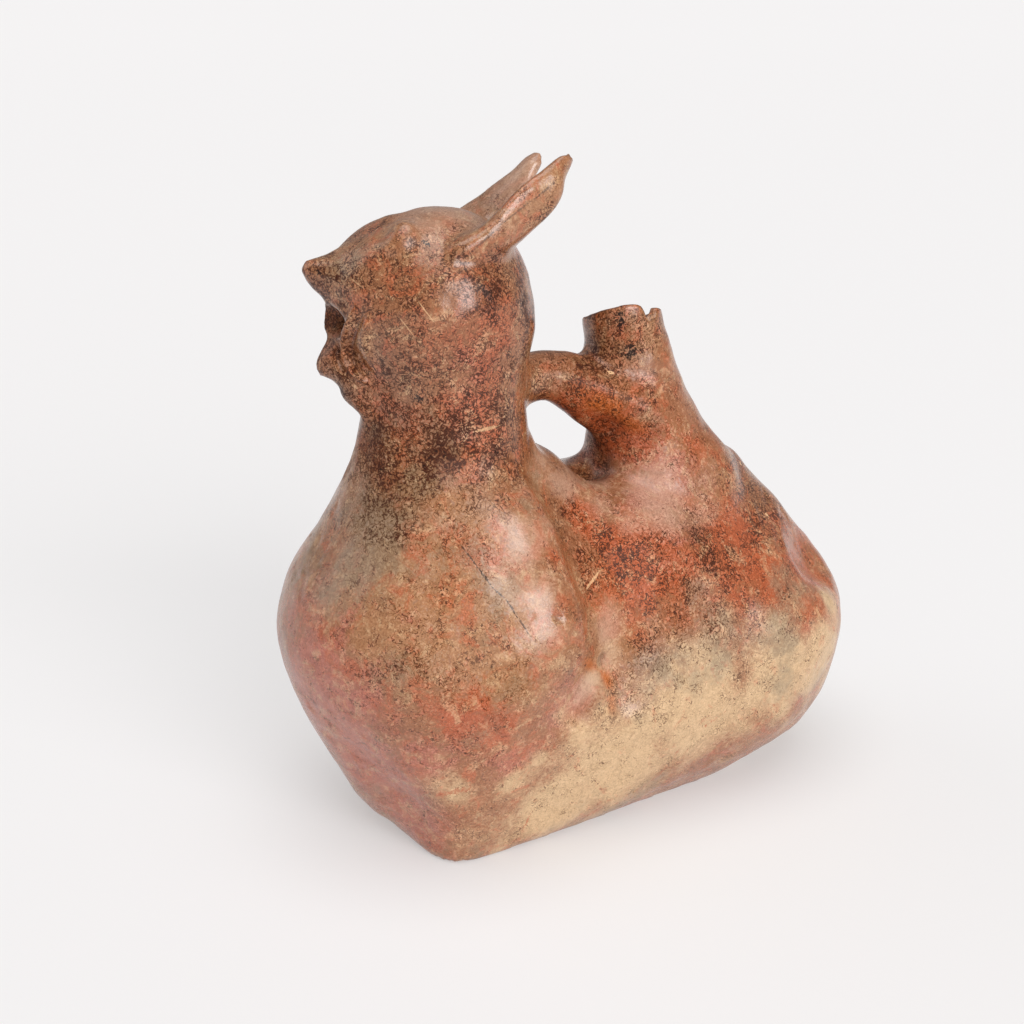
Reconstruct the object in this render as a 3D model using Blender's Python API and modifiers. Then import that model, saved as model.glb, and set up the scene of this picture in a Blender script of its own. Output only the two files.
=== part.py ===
"""Whistling vessel of burnished red clay: two joined chambers, an owl-like head, a handle and a spout.

Metres, +Z up. The head looks along -Y, the spout stands on the rear chamber, and the vessel rests on
its flat base.
"""
import math

import bmesh
import bpy
from mathutils import Matrix, Vector
from mathutils.bvhtree import BVHTree

# Driving sizes, in metres and degrees
HEIGHT = 0.2531
WALL = 0.0048
FRONT_RADIUS = 0.0625
FRONT_HEIGHT = 0.158
REAR_WIDTH = 0.120
REAR_LENGTH = 0.125
REAR_HEIGHT = 0.134
CHAMBER_SPACING = 0.118
SADDLE_WIDTH = 0.102
SADDLE_SETBACK = 0.066
BASE_WIDTH = 0.076
BASE_REAR_WIDTH = 0.061
BASE_LENGTH = 0.134
BASE_FRONT_REACH = 0.022
BASE_EDGE_ROUNDING = 0.009
NECK_RADIUS = 0.0302
HEAD_RADIUS = 0.0355
HEAD_TURN = 15.0
SPOUT_HEIGHT = 0.1915
SPOUT_RIM_RADIUS = 0.0150
SPOUT_WALL = 0.0030
SPOUT_RIM_BACKSET = 0.0775
SPOUT_LEAN = 0.0203
SPOUT_ROOT_DEPTH = 0.020
SPOUT_RIM_SLANT_SIDE = 0.40
SPOUT_RIM_SLANT_BACK = -0.07
RIM_CHIP_BEARING = math.radians(20.0)
RIM_CHIP_DEPTH = 0.0045
HANDLE_RADIUS = 0.0097
HANDLE_TOP_HEIGHT = 0.1815
MOUTH_HOLE_RADIUS = 0.0030

# Fineness of the modelled clay
VOXEL = 0.0022
OUTER_TRIANGLES = 5400
INNER_TRIANGLES = 1900
RING_STEPS = 48
# Wider than the whole vessel, for the blocks that cut its base and floor flat
REACH = 4 * CHAMBER_SPACING

# The two ear tufts are shaped by hand and differ a little: their width and drop by side, in shares
EAR_WIDTHS = {-1: 0.92, 1: 1.0}
EAR_DROPS = {-1: 0.02, 1: 0.0}
# The ears' tips are the top of the vessel, and the head hangs this share of its radius below them
EAR_RISE = 1.44
HEAD_CENTRE_HEIGHT = HEIGHT - EAR_RISE * HEAD_RADIUS

CLAY_COLOUR = (0.36, 0.13, 0.065, 1.0)
CLAY_ROUGHNESS = 0.38


def clear_scene():
    for obj in list(bpy.data.objects):
        bpy.data.objects.remove(obj, do_unlink=True)


def new_collection(name):
    group = bpy.data.collections.new(name)
    bpy.context.scene.collection.children.link(group)
    return group


def clay_material():
    material = bpy.data.materials.new("burnished red clay")
    material.use_nodes = True
    shader = material.node_tree.nodes["Principled BSDF"]
    shader.inputs["Base Color"].default_value = CLAY_COLOUR
    shader.inputs["Roughness"].default_value = CLAY_ROUGHNESS
    shader.inputs["Metallic"].default_value = 0.0
    return material


def smooth_line(points, steps):
    """Points on a Catmull-Rom curve through the given points."""
    points = [Vector(p) for p in points]
    padded = [2 * points[0] - points[1], *points, 2 * points[-1] - points[-2]]
    line = []
    for a, b, c, d in zip(padded, padded[1:], padded[2:], padded[3:]):
        for step in range(steps):
            t = step / steps
            line.append(0.5 * ((2 * b) + (c - a) * t + (2 * a - 5 * b + 4 * c - d) * t ** 2
                               + (3 * b - a - 3 * c + d) * t ** 3))
    line.append(points[-1])
    return line


def add_object(name, mesh, group):
    obj = bpy.data.objects.new(name, mesh)
    group.objects.link(obj)
    return obj


def settle(obj, group):
    """Replaces an object that has modifiers or is a curve by the mesh that it evaluates to."""
    graph = bpy.context.evaluated_depsgraph_get()
    graph.update()
    mesh = bpy.data.meshes.new_from_object(obj.evaluated_get(graph))
    shape = bmesh.new()
    shape.from_mesh(mesh)
    bmesh.ops.transform(shape, matrix=obj.matrix_world, verts=shape.verts)
    bmesh.ops.remove_doubles(shape, verts=shape.verts, dist=1e-6)
    bmesh.ops.recalc_face_normals(shape, faces=shape.faces)
    shape.to_mesh(mesh)
    shape.free()
    name = obj.name
    bpy.data.objects.remove(obj, do_unlink=True)
    return add_object(name, mesh, group)


def turned(name, profile, group):
    """A form turned about a vertical axis from (radius, height) points, top to bottom."""
    mesh = bpy.data.meshes.new(name)
    line = smooth_line([(r, 0.0, z) for r, z in profile], 4)
    line = [(max(p.x, 0.0), 0.0, p.z) for p in line]
    mesh.from_pydata(line, [(i, i + 1) for i in range(len(line) - 1)], [])
    obj = add_object(name, mesh, group)
    screw = obj.modifiers.new("turn", "SCREW")
    screw.axis = "Z"
    screw.steps = RING_STEPS
    screw.render_steps = RING_STEPS
    screw.use_merge_vertices = True
    screw.merge_threshold = 0.0001
    return settle(obj, group)


def block(name, centre, size, group, turn=None):
    """A rectangular block with its three full sizes."""
    mesh = bpy.data.meshes.new(name)
    shape = bmesh.new()
    bmesh.ops.create_cube(shape, size=1.0)
    place = Matrix.Translation(centre) @ (turn or Matrix()) @ Matrix.Diagonal((*size, 1.0))
    bmesh.ops.transform(shape, matrix=place, verts=shape.verts)
    shape.to_mesh(mesh)
    shape.free()
    return add_object(name, mesh, group)


def ball(name, centre, radii, group, turn=None):
    """A sphere or an egg, with its three half-axes."""
    mesh = bpy.data.meshes.new(name)
    shape = bmesh.new()
    bmesh.ops.create_uvsphere(shape, u_segments=RING_STEPS, v_segments=RING_STEPS // 2, radius=1.0)
    place = Matrix.Translation(centre) @ (turn or Matrix()) @ Matrix.Diagonal((*radii, 1.0))
    bmesh.ops.transform(shape, matrix=place, verts=shape.verts)
    shape.to_mesh(mesh)
    shape.free()
    return add_object(name, mesh, group)


def rolled(name, path, radii, group, flatness=1.0, tilt=0.0):
    """A roll of clay along a smooth path, with a radius at each point; flatness is thickness by width."""
    section = bpy.data.curves.new(name + " section", "CURVE")
    section.dimensions = "2D"
    ring = section.splines.new("POLY")
    ring.points.add(15)
    for i, point in enumerate(ring.points):
        angle = 2 * math.pi * i / 16
        point.co = (math.cos(angle), flatness * math.sin(angle), 0.0, 1.0)
    ring.use_cyclic_u = True
    section_object = add_object(name + " section", section, group)
    curve = bpy.data.curves.new(name, "CURVE")
    curve.dimensions = "3D"
    curve.twist_mode = "Z_UP"
    curve.bevel_mode = "OBJECT"
    curve.bevel_object = section_object
    curve.use_fill_caps = True
    curve.resolution_u = 8
    spline = curve.splines.new("BEZIER")
    spline.bezier_points.add(len(path) - 1)
    for point, place, radius in zip(spline.bezier_points, path, radii):
        point.co = place
        point.radius = radius
        point.tilt = tilt
        point.handle_left_type = "AUTO"
        point.handle_right_type = "AUTO"
    obj = add_object(name, curve, group)
    bpy.context.view_layer.update()
    obj = settle(obj, group)
    bpy.data.objects.remove(section_object, do_unlink=True)
    return obj


def rounded_end(path, radii):
    """Adds a small last ring past the end of a roll, so that its tip is round."""
    direction = (path[-1] - path[-2]).normalized()
    return path + [path[-1] + 0.75 * radii[-1] * direction], radii + [0.45 * radii[-1]]


def fuse(name, pieces, group, repeats, voxel=VOXEL):
    """Joins overlapping forms into one skin of clay and smooths the seams."""
    shape = bmesh.new()
    for piece in pieces:
        shape.from_mesh(piece.data)
        bpy.data.objects.remove(piece, do_unlink=True)
    bmesh.ops.recalc_face_normals(shape, faces=shape.faces)
    mesh = bpy.data.meshes.new(name)
    shape.to_mesh(mesh)
    shape.free()
    obj = add_object(name, mesh, group)
    remesh = obj.modifiers.new("one skin", "REMESH")
    remesh.mode = "VOXEL"
    remesh.voxel_size = voxel
    smooth = obj.modifiers.new("smoothed seams", "SMOOTH")
    smooth.factor = 0.5
    smooth.iterations = repeats
    return settle(obj, group)


def copy_of(obj, name, group):
    return add_object(name, obj.data.copy(), group)


def thin_out(obj, triangles, group):
    """Brings a skin down to about the given number of triangles."""
    obj.data.calc_loop_triangles()
    decimate = obj.modifiers.new("fewer faces", "DECIMATE")
    decimate.ratio = min(1.0, triangles / len(obj.data.loop_triangles))
    decimate.use_collapse_triangulate = True
    return settle(obj, group)


def cut(obj, cutter, name):
    boolean = obj.modifiers.new(name, "BOOLEAN")
    boolean.operation = "DIFFERENCE"
    boolean.solver = "EXACT"
    boolean.object = cutter


def hide_cutter(obj):
    obj.hide_render = True
    obj.display_type = "WIRE"


def hull(name, rings, balls, group):
    """The tight skin round level oval rings (y, half width, half length, z) and balls (x, y, z, radius)."""
    shape = bmesh.new()
    for y, half_width, half_length, z in rings:
        place = Matrix.Translation((0.0, y, z)) @ Matrix.Diagonal((half_width, half_length, 1.0, 1.0))
        bmesh.ops.create_circle(shape, segments=RING_STEPS, radius=1.0, matrix=place)
    for x, y, z, radius in balls:
        bmesh.ops.create_uvsphere(shape, u_segments=24, v_segments=12, radius=radius,
                                  matrix=Matrix.Translation((x, y, z)))
    found = bmesh.ops.convex_hull(shape, input=shape.verts)
    loose = {v for v in shape.verts if not v.link_faces}
    inside = loose.union(v for v in found["geom_interior"] if isinstance(v, bmesh.types.BMVert))
    bmesh.ops.delete(shape, geom=list(inside), context="VERTS")
    mesh = bpy.data.meshes.new(name)
    shape.to_mesh(mesh)
    shape.free()
    return add_object(name, mesh, group)


def keel(group):
    """The lower body: from the flat base up to the widest part of both chambers."""
    edge = BASE_EDGE_ROUNDING
    front, back = edge - BASE_FRONT_REACH, BASE_LENGTH - BASE_FRONT_REACH - edge
    balls = [(side * (width / 2 - edge), y, 0.35 * edge, edge)
             for y, width in ((front, BASE_WIDTH), (back, BASE_REAR_WIDTH)) for side in (-1, 1)]
    rings = [(0.0, r * FRONT_RADIUS, r * FRONT_RADIUS, z * FRONT_HEIGHT)
             for r, z in ((0.91, 0.36), (0.845, 0.29))]
    rings += [(CHAMBER_SPACING, r * REAR_WIDTH / 2, r * REAR_LENGTH / 2, z * REAR_HEIGHT)
              for r, z in ((0.99, 0.37), (0.93, 0.23), (0.81, 0.13))]
    return hull("keel", rings, balls, group)


def rear_chamber(group):
    """The oval rear pot, with a roof that runs level toward the front pot and slopes away behind."""
    rear = [(0.20, 1.0), (0.33, 0.93), (0.52, 0.83), (0.67, 0.745), (0.82, 0.66), (0.94, 0.60), (1.0, 0.52),
            (1.01, 0.44), (0.98, 0.35), (0.89, 0.22)]
    fore = [(0.30, 0.985), (0.64, 0.945), (0.84, 0.86), (0.96, 0.75), (1.05, 0.63), (1.11, 0.51),
            (1.14, 0.40)]
    rings = [(CHAMBER_SPACING, r * REAR_WIDTH / 2, r * REAR_LENGTH / 2, z * REAR_HEIGHT) for r, z in rear]
    rings += [(SADDLE_SETBACK, r * SADDLE_WIDTH / 2, r * SADDLE_WIDTH * 0.4, z * REAR_HEIGHT)
              for r, z in fore]
    return hull("rear chamber", rings, [], group)


def front_chamber(group):
    """The round front pot, up to the foot of the neck."""
    front = [(0.0, 1.045), (0.30, 1.04), (0.47, 1.00), (0.50, 0.95), (0.55, 0.905), (0.61, 0.855),
             (0.68, 0.81), (0.75, 0.76), (0.83, 0.715), (0.90, 0.67), (0.955, 0.62), (1.0, 0.555),
             (1.0, 0.50), (0.955, 0.42), (0.87, 0.32), (0.72, 0.19), (0.52, 0.06), (0.30, 0.0), (0.0, -0.02)]
    front = [(r * FRONT_RADIUS, z * FRONT_HEIGHT) for r, z in front]
    return turned("front chamber", front, group)


def chambers(group):
    """Both pots, the lower body that they share, and the shoulder that runs from the neck to the saddle."""
    slope = [(0.05, 0.85, 0.48), (0.48, 0.765, 0.45), (0.94, 0.635, 0.47)]
    shoulder = rolled("shoulder", [Vector((0.0, y * FRONT_RADIUS, z * FRONT_HEIGHT)) for y, z, r in slope],
                      [r * FRONT_RADIUS for y, z, r in slope], group)
    waist = ball("waist", (0.0, 0.55 * SADDLE_SETBACK, 0.60 * REAR_HEIGHT),
                 (0.485 * SADDLE_WIDTH, 0.58 * SADDLE_SETBACK, 0.39 * REAR_HEIGHT), group)
    return [front_chamber(group), rear_chamber(group), keel(group), shoulder, waist]


def head_point(forward, side, up):
    """A place by the head's own axes, in shares of its radius."""
    turn = Matrix.Rotation(math.radians(-HEAD_TURN), 3, "Z")
    offset = turn @ Vector((side, -forward, up))
    return Vector((0.0, 0.0, HEAD_CENTRE_HEIGHT)) + HEAD_RADIUS * offset


def head_roll(name, stops, group, **shape):
    """A roll from (forward, side, up, radius) stops in shares of the head's radius, with a rounded tip."""
    path, radii = rounded_end([head_point(*stop[:3]) for stop in stops],
                              [HEAD_RADIUS * stop[3] for stop in stops])
    return rolled(name, path, radii, group, **shape)


def head_egg(name, centre, radii, group):
    turn = Matrix.Rotation(math.radians(-HEAD_TURN), 4, "Z")
    forward, side, up = radii
    return ball(name, head_point(*centre), [HEAD_RADIUS * r for r in (side, forward, up)], group, turn)


def head_features(group):
    """Brow and muzzle, the two halves of the beak, the eyes, the cheek ridges and the ear tufts."""
    pieces = [head_egg("brow", (0.32, 0.0, 0.22), (0.76, 0.72, 0.71), group),
              head_egg("muzzle", (0.60, 0.0, -0.04), (0.53, 0.56, 0.46), group),
              head_roll("upper beak", [(0.60, 0.0, 0.30, 0.46), (0.95, 0.0, 0.34, 0.31),
                                       (1.13, 0.0, 0.37, 0.20), (1.25, 0.0, 0.42, 0.11)], group),
              head_roll("lower beak", [(0.35, 0.0, -0.66, 0.54), (0.74, 0.0, -0.61, 0.39),
                                       (1.00, 0.0, -0.52, 0.26), (1.13, 0.0, -0.57, 0.12)], group)]
    for side in (-1, 1):
        width, drop = EAR_WIDTHS[side], EAR_DROPS[side]
        stops = [(-0.06, 0.50, 0.51, 0.36), (-0.46, 0.56, 0.70, 0.34), (-0.86, 0.54, 1.01, 0.29),
                 (-1.16, 0.46, 1.34, 0.17)]
        pieces.append(head_roll("ear tuft", [(f, side * s, u - drop, width * r) for f, s, u, r in stops],
                                group, flatness=0.50, tilt=math.radians(-25 * side)))
        pieces.append(head_egg("eye", (0.40, 0.42 * side, 0.66), (0.26, 0.22, 0.22), group))
    return pieces


def on_face(tree, bearing, rise):
    """A place on the skin of the head, seen from its centre at a bearing from the beak and a rise."""
    bearing, rise = math.radians(bearing), math.radians(rise)
    way = head_point(math.cos(rise) * math.cos(bearing), math.cos(rise) * math.sin(bearing), math.sin(rise))
    way -= head_point(0, 0, 0)
    return tree.ray_cast(head_point(0, 0, 0), way.normalized())[0]


def cheek_ridges(skin, group):
    """The thin raised rim of each cheek and the soft fold behind it, laid on the skin of the head."""
    tree = BVHTree.FromPolygons([v.co for v in skin.data.vertices], [p.vertices for p in skin.data.polygons])
    rim = [(32, 12), (25, 2), (17, -14), (17, -26), (22, -33), (30, -40)]
    fold = [(38, 4), (30, -9), (29, -22), (33, -35)]
    pieces = []
    for side in (-1, 1):
        for name, stops, radius in (("cheek rim", rim, 0.040), ("cheek fold", fold, 0.060)):
            places = [on_face(tree, side * bearing, rise) for bearing, rise in stops]
            for end in (0, -1):
                places[end] = places[end].lerp(head_point(0, 0, 0), radius)
            radii = [radius * HEAD_RADIUS * share for share in taper(len(stops))]
            pieces.append(rolled(name, places, radii, group))
    return pieces


def taper(count):
    """Shares of a roll's radius that thin out toward both of its ends."""
    return [0.45 + 0.55 * math.sin(math.pi * (i + 0.5) / count) for i in range(count)]


def stand_on_origin(vessel, parts, cutters):
    """Moves everything so that the middle of the footprint of the finished vessel is the origin."""
    bpy.context.view_layer.update()
    graph = bpy.context.evaluated_depsgraph_get()
    corners = [Vector(c) for c in vessel.evaluated_get(graph).bound_box]
    centre = 0.5 * (Vector(map(min, zip(*corners))) + Vector(map(max, zip(*corners))))
    stand = bpy.data.objects.new("vessel origin", None)
    parts.objects.link(stand)
    stand.location = (-centre.x, -centre.y, 0.0)
    for obj in list(parts.objects) + list(cutters.objects):
        if obj is not stand:
            obj.parent = stand


def handle_rolls(group):
    """The handle from the neck to the spout, and the two roots by which it spreads over the spout's foot."""
    start, end = 0.83 * NECK_RADIUS, SPOUT_RIM_BACKSET + 0.76 * SPOUT_LEAN
    crest = HANDLE_TOP_HEIGHT - HANDLE_RADIUS
    fall = crest - REAR_HEIGHT

    def place(side, along, down):
        return Vector((side * HANDLE_RADIUS, start + along * (end - start), crest - down * fall))

    spine = [(0.0, 0.0, 0.09, 1.10), (0.0, 0.22, 0.0, 1.0), (0.0, 0.40, 0.05, 1.05), (0.0, 0.60, 0.20, 1.18),
             (0.0, 0.82, 0.40, 1.35), (0.0, 1.0, 0.69, 1.55)]
    root = [(0.52, 0.37, 0.04, 0.75), (1.13, 0.61, 0.21, 0.80), (1.60, 0.88, 0.53, 0.80),
            (1.50, 1.12, 1.0, 0.80)]
    lines = [("handle", 1, spine), ("handle root", -1, root), ("handle root", 1, root)]
    return [rolled(name, [place(side * x, along, down) for x, along, down, r in stops],
                   [HANDLE_RADIUS * r for x, along, down, r in stops], group) for name, side, stops in lines]


def build():
    clear_scene()
    parts = new_collection("whistling vessel")
    cutters = new_collection("cutters")
    clay = clay_material()

    neck_low = Vector((0.0, 0.0020, 0.92 * FRONT_HEIGHT))
    neck_high = Vector((0.0, 0.0012, HEAD_CENTRE_HEIGHT - 0.45 * HEAD_RADIUS))
    neck = rolled("neck", [neck_low, 0.5 * (neck_low + neck_high), neck_high],
                  [1.06 * NECK_RADIUS, NECK_RADIUS, 1.02 * NECK_RADIUS], parts)
    head = ball("head", head_point(0, 0, 0), (0.985 * HEAD_RADIUS,) * 3, parts)
    body = fuse("body", chambers(parts) + [neck, head], parts, 26)

    hollow = copy_of(body, "hollow", cutters)
    inset = hollow.modifiers.new("wall", "DISPLACE")
    inset.strength = -WALL
    inset.mid_level = 0.0
    hollow = fuse("hollow", [settle(hollow, cutters)], cutters, 4)
    below_floor = block("below the floor", (0.0, 0.0, WALL - 0.5 * REACH), (REACH,) * 3, cutters)
    cut(hollow, below_floor, "inside floor")
    hollow = thin_out(settle(hollow, cutters), INNER_TRIANGLES, cutters)
    bpy.data.objects.remove(below_floor, do_unlink=True)

    # The spout leans forward and flares into the roof of the rear chamber
    rim = Vector((0.0, SPOUT_RIM_BACKSET, SPOUT_HEIGHT))
    foot = Vector((0.0, SPOUT_RIM_BACKSET + SPOUT_LEAN, REAR_HEIGHT - SPOUT_ROOT_DEPTH))
    lean = foot - rim
    stops = [(-0.08, 1.0), (0.10, 1.04), (0.25, 1.14), (0.45, 1.34), (0.62, 1.61), (0.80, 2.01),
             (1.0, 2.32), (1.40, 1.80)]
    spout = rolled("spout", [rim + t * lean for t, r in stops],
                   [r * SPOUT_RIM_RADIUS for t, r in stops], parts)
    bore_stops = [(-0.20, 1.0), (0.10, 1.0), (0.45, 1.08), (0.75, 1.30), (1.0, 1.45)]
    bore_radius = SPOUT_RIM_RADIUS - SPOUT_WALL
    bore = rolled("spout bore", [rim + t * lean for t, r in bore_stops],
                  [r * bore_radius for t, r in bore_stops], cutters)

    skin = fuse("skin", [body, spout] + handle_rolls(parts), parts, 6)

    skin = fuse("skin", [skin] + head_features(parts), parts, 3, voxel=0.7 * VOXEL)
    skin = fuse("skin", [skin] + cheek_ridges(skin, parts), parts, 1, voxel=0.55 * VOXEL)
    vessel = thin_out(skin, OUTER_TRIANGLES, parts)
    vessel.name = "vessel"

    ground = block("ground", (0.0, 0.0, -0.5 * REACH), (REACH,) * 3, cutters)
    hole = rolled("mouth hole", [head_point(forward, 0.0, -0.11) for forward in (1.30, 0.95, 0.50)],
                  [MOUTH_HOLE_RADIUS] * 3, cutters)
    slant = Vector((-SPOUT_RIM_SLANT_SIDE, -SPOUT_RIM_SLANT_BACK, 1.0)).normalized()
    slant_turn = slant.to_track_quat("Z", "Y").to_matrix().to_4x4()
    reach = 4 * SPOUT_RIM_RADIUS
    rim_cut = block("rim cut", rim + 0.5 * reach * slant, (reach,) * 3, cutters, slant_turn)
    chip_out = Vector((math.cos(RIM_CHIP_BEARING), math.sin(RIM_CHIP_BEARING), 0.0))
    chip_place = rim + SPOUT_RIM_RADIUS * chip_out
    chip_place.z += SPOUT_RIM_RADIUS * (SPOUT_RIM_SLANT_SIDE * chip_out.x + SPOUT_RIM_SLANT_BACK * chip_out.y)
    chip_turn = Matrix.Rotation(RIM_CHIP_BEARING, 4, "Z") @ Matrix.Rotation(math.pi / 4, 4, "X")
    chip = block("rim chip", chip_place, (3 * SPOUT_WALL, RIM_CHIP_DEPTH, RIM_CHIP_DEPTH), cutters, chip_turn)
    gape = head_egg("gape", (1.15, 0.08, -0.09), (0.23, 0.42, 0.17), cutters)
    for name, cutter in (("flat base", ground), ("hollow inside", hollow), ("spout bore", bore),
                         ("open beak", gape), ("mouth hole", hole), ("spout rim", rim_cut),
                         ("rim chip", chip)):
        hide_cutter(cutter)
        cut(vessel, cutter, name)
    vessel.data.materials.clear()
    vessel.data.materials.append(clay)
    vessel.data.shade_smooth()

    stand_on_origin(vessel, parts, cutters)


build()
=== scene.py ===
"""Whistling vessel of burnished red clay: its fine skin, its finish and the studio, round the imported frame.

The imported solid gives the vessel's size and form. Here its skin is made fine enough for the small relief
of the head, the marks of handling and the worn, fire-clouded surface.
"""
import math

import bmesh
import bpy
import numpy as np
from bpy.props import FloatProperty, FloatVectorProperty, PointerProperty
from mathutils import Matrix, Vector
from mathutils.bvhtree import BVHTree
from mathutils.kdtree import KDTree


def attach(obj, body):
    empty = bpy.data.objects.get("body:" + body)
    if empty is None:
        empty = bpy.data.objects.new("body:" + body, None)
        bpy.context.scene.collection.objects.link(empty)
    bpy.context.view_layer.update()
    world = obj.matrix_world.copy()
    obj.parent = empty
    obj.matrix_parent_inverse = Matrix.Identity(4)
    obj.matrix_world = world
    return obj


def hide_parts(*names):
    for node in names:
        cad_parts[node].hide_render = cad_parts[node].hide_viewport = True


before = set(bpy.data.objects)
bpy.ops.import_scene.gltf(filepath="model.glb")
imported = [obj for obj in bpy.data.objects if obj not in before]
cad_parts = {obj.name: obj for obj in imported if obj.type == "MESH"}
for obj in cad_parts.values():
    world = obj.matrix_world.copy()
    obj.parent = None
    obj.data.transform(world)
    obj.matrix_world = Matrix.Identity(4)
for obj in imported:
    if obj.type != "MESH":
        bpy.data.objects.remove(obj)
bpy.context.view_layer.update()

bl_info = {
    "name": "Whistling vessel",
    "version": (1, 0, 0),
    "blender": (4, 5, 0),
    "location": "3D View > Sidebar > Vessel",
    "description": "Dresses the packed whistling vessel in burnished clay and sets it in a studio",
    "category": "Object",
}

# The head's own frame: forward out of the beak, side to the vessel's +X and up, in shares of its radius
HEAD_CENTRE = Vector((0.0, -0.05908, 0.2020))
HEAD_RADIUS = 0.0355
HEAD_TURN = math.radians(15.0)


def linear(hex_colour):
    """An sRGB colour such as "#A0522D" as linear red, green, blue and alpha."""
    parts = [int(hex_colour[i:i + 2], 16) / 255 for i in (1, 3, 5)]
    return (*[p / 12.92 if p <= 0.04045 else ((p + 0.055) / 1.055) ** 2.4 for p in parts], 1.0)


def clay_colour(name, description, hex_colour):
    """A colour of the clay or the studio that the sidebar shows."""
    return FloatVectorProperty(name=name, description=description, subtype="COLOR", size=4,
                               default=linear(hex_colour), min=0.0, max=1.0)


def length(name, description, size):
    """A size in metres that the sidebar shows."""
    return FloatProperty(name=name, description=description, default=size, min=0.0, subtype="DISTANCE",
                         unit="LENGTH", precision=5)


def metres(millimetres):
    """A length, a place or a list of places in millimetres, in metres."""
    if isinstance(millimetres, (int, float)):
        return millimetres / 1000
    return tuple(metres(value) for value in millimetres)


class ClaySkin(bpy.types.PropertyGroup):
    """Sizes of the vessel's fine surface."""
    grain: length("Grain", "Size of the faces that the skin is made of", 0.0016)
    unevenness: length("Unevenness", "Height of the swells that building by hand leaves", 0.00035)
    dimples: length("Dimples", "Height of the small dents of fingers and pebble", 0.00010)
    rim_height: length("Cheek rim", "Height of the thin rim of each cheek", 0.0014)
    pit_depth: length("Waist pit", "Depth of the pit below the shoulder", 0.0017)
    crease_depth: length("Shoulder crease", "Depth of the crease between shoulder and rear chamber", 0.0003)
    fold_height: length("Shoulder fold", "Height of the soft fold from the neck down to the belly", 0.0046)


class ClayColours(bpy.types.PropertyGroup):
    """Colours of the fired and burnished clay."""
    brown: clay_colour("Brown slip", "Slip of the head, the neck and the handle", "#884824")
    tan: clay_colour("Tan slip", "Worn slip of the upper front chamber", "#A0704C")
    red: clay_colour("Orange-red slip", "Slip that fired bright", "#AA532C")
    rose: clay_colour("Rose slip", "Rubbed slip low on the front chamber", "#AE6450")
    buff: clay_colour("Buff clay", "Bare clay on the lower sides", "#C5A37B")
    grey: clay_colour("Grey-olive haze", "Slip that the smoke turned dull", "#807058")
    orange: clay_colour("Orange slip", "Slip that fired brightest, under the handle and by the pit", "#B05C22")
    # Painted sheen: this pale pink is laid on what faces up, along the shoulder fold and on the knob as painted sheen
    # and highlights, and as paler slip at the waist
    bloom: clay_colour("Pale bloom", "Slip rubbed thin and pale on what faces up", "#B6927C")
    umber: clay_colour("Umber", "Stain of the fire clouds, and dirt", "#4A2410")
    # Umber also serves as the painted shade in the creases and pits
    soot: clay_colour("Soot", "Dark flecks", "#160D0A")
    cream: clay_colour("Cream", "Pale clay where the burnish has flaked off", "#D8AC80")


class Studio(bpy.types.PropertyGroup):
    """Sizes and lamps of the studio."""
    sweep_width: length("Paper width", "Width of the white paper sweep", 80.0)
    sweep_depth: length("Paper depth", "From the vessel back to the far edge of the paper", 90.0)
    paper: clay_colour("Paper", "Pale matt paper", "#BDBBBB")
    paper_glow: FloatProperty(name="Paper glow", description="Light that comes through the paper from behind",
                              default=0.36, min=0.0)
    sky: FloatProperty(name="Room light", description="Brightness of the room", default=0.30, min=0.0)
    key: FloatProperty(name="Right softbox", description="Strength of the softbox on the right",
                       default=2.6, min=0.0)
    fill: FloatProperty(name="Left softbox", description="Strength of the softbox on the left",
                        default=0.42, min=0.0)
    top: FloatProperty(name="Overhead softbox", description="Strength of the softbox overhead",
                       default=1.5, min=0.0)


def head_point(forward, side, up):
    """A place by the head's own axes, in shares of its radius."""
    turn = Matrix.Rotation(-HEAD_TURN, 3, "Z")
    return HEAD_CENTRE + HEAD_RADIUS * (turn @ Vector((side, -forward, up)))


def read(collection, field, width):
    """One field of all of a mesh's points, edges or normals, as rows of this many numbers."""
    values = np.empty(len(collection) * width, np.float32 if field != "vertices" else np.int32)
    collection.foreach_get(field, values)
    return values.reshape(-1, width)


def points_of(mesh):
    """The places of a mesh's points."""
    return read(mesh.vertices, "co", 3).astype(float)


def move_to(mesh, points):
    """Puts a mesh's points at the given places."""
    mesh.vertices.foreach_set("co", points.astype(np.float32).ravel())
    mesh.update()


# How far a point goes to the middle of its neighbours, and how far the skin swells back after that
DRAW_IN, SWELL_BACK = 0.5, -0.52


def smoothed(points, edges, rounds, amount):
    """Draws each point toward its neighbours, then swells the skin back so that it doesn't shrink."""
    count = np.bincount(edges.ravel(), minlength=len(points))[:, None]
    points = points.copy()
    for step in range(2 * rounds):
        near = np.stack([np.bincount(edges[:, 0], points[edges[:, 1], k], len(points))
                         + np.bincount(edges[:, 1], points[edges[:, 0], k], len(points)) for k in range(3)], 1)
        points += (DRAW_IN if step % 2 == 0 else SWELL_BACK) * amount * (near / count - points)
    return points


# How many waves cross in a swell, and about their root, which brings their sum back to -1 to 1
WAVES, WAVE_SPREAD = 14, 3.7


def swells(points, wavelength, seed):
    """A slow, uneven rise and fall over the surface, about -1 to 1."""
    random = np.random.default_rng(seed)
    ways = random.normal(size=(WAVES, 3))
    ways /= np.linalg.norm(ways, axis=1)[:, None]
    waves = 2 * math.pi / (wavelength * random.uniform(0.7, 1.5, WAVES))
    return np.sin(points @ (ways * waves[:, None]).T + random.uniform(0, 6.28, WAVES)).sum(1) / WAVE_SPREAD


def soft_step(low, high, values):
    """0 below low and 1 above high, with a soft rise between them."""
    share = np.clip((values - low) / (high - low), 0.0, 1.0)
    return share * share * (3 - 2 * share)


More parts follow.
